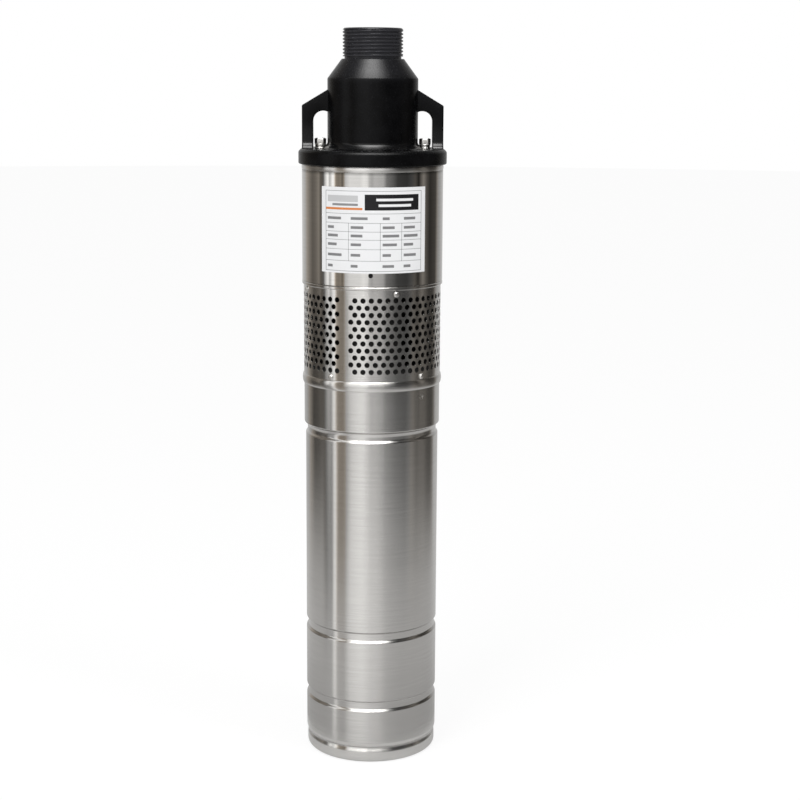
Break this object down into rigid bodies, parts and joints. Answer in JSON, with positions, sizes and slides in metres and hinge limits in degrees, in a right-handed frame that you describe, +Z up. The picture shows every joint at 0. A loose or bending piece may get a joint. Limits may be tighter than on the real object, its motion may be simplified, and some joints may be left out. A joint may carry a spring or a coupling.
{
  "type": "borehole submersible pump",
  "caption": "Slim stainless borehole submersible pump: oil-filled motor, perforated intake band, staged pump sleeve, black discharge head with rope ears and male outlet thread.",
  "frame": {"origin": "middle of the base, on the pump axis", "axes": "+Z up the pump axis to the outlet, -Y the front with the rating plate, ears along X"},
  "size_m": [0.1024, 0.1024, 0.512],
  "materials": {
    "black_plastic": "matte moulded black",
    "white_plastic": "natural",
    "stage_plastic": "moulded",
    "bright_steel": "bright",
    "stainless": "brushed around the axis",
    "rubber": "matte",
    "brass": "turned",
    "seal_ring": "lapped seal ring",
    "cast_iron": "machined",
    "laminations": "oxidised sheet",
    "copper": "enamelled wire",
    "aluminium": "cast"
  },
  "bodies": {
    "housing": {"discharge_head": "black_plastic", "head_bolts": "bright_steel", "head_washers": "bright_steel", "head_o_ring": "rubber", "valve_seat": "brass", "valve_spring": "bright_steel", "valve_guide": "black_plastic", "discharge_plate": "stainless", "top_bush": "rubber", "pump_sleeve": "stainless", "sleeve_screws": "bright_steel", "stage_cup_1": "stainless", "stage_cup_2": "stainless", "stage_cup_3": "stainless", "diffuser_1": "white_plastic", "diffuser_2": "white_plastic", "diffuser_3": "white_plastic", "intake_bracket": "stainless", "bracket_screws": "bright_steel", "strainer": "stainless", "strainer_screws": "bright_steel", "seal_seat": "seal_ring", "gland_body": "brass", "gland_nut": "brass", "gland_grommet": "rubber", "motor_shell": "stainless", "shell_screws": "bright_steel", "upper_housing": "cast_iron", "housing_o_ring": "rubber", "upper_bearing_outer": "bright_steel", "lower_bearing_outer": "bright_steel", "lower_housing": "cast_iron", "stator_core": "laminations", "stator_winding": "copper", "diaphragm": "rubber", "bottom_cap": "stainless", "cap_o_ring": "rubber"},
    "rotor": {"impeller_1": "stage_plastic", "impeller_2": "stage_plastic", "impeller_3": "stage_plastic", "pump_shaft": "bright_steel", "journal_sleeve": "bright_steel", "shaft_nut": "bright_steel", "coupling": "bright_steel", "coupling_pin": "bright_steel", "sand_slinger": "rubber", "seal_face": "seal_ring", "seal_bellows": "rubber", "upper_bearing_inner": "bright_steel", "lower_bearing_inner": "bright_steel", "rotor_core": "laminations", "rotor_cage": "aluminium", "motor_shaft": "bright_steel"},
    "valve": {"valve_poppet": "white_plastic", "valve_seal": "rubber"},
    "upper_balls": {"upper_ball_set": "bright_steel"},
    "lower_balls": {"lower_ball_set": "bright_steel"}
  },
  "joints": [
    {"name": "rotor_spin", "type": "hinge", "parent": "housing", "child": "rotor", "pos_m": [0, 0, 0.25], "axis": [0, 0, 1], "continuous": true},
    {"name": "upper_ball_spin", "type": "hinge", "parent": "housing", "child": "upper_balls", "pos_m": [0, 0, 0.2505], "axis": [0, 0, 1], "continuous": true},
    {"name": "lower_ball_spin", "type": "hinge", "parent": "housing", "child": "lower_balls", "pos_m": [0, 0, 0.0935], "axis": [0, 0, 1], "continuous": true},
    {"name": "valve_lift", "type": "slide", "parent": "housing", "child": "valve", "axis": [0, 0, 1], "range_m": [0, 0.009], "stiffness_N_per_m": 120, "springref_m": -0.008, "deforming": ["valve_spring"]}
  ],
  "couplings": [
    {"joint": "upper_ball_spin", "follows": "rotor_spin", "ratio": 0.382},
    {"joint": "lower_ball_spin", "follows": "rotor_spin", "ratio": 0.382}
  ]
}
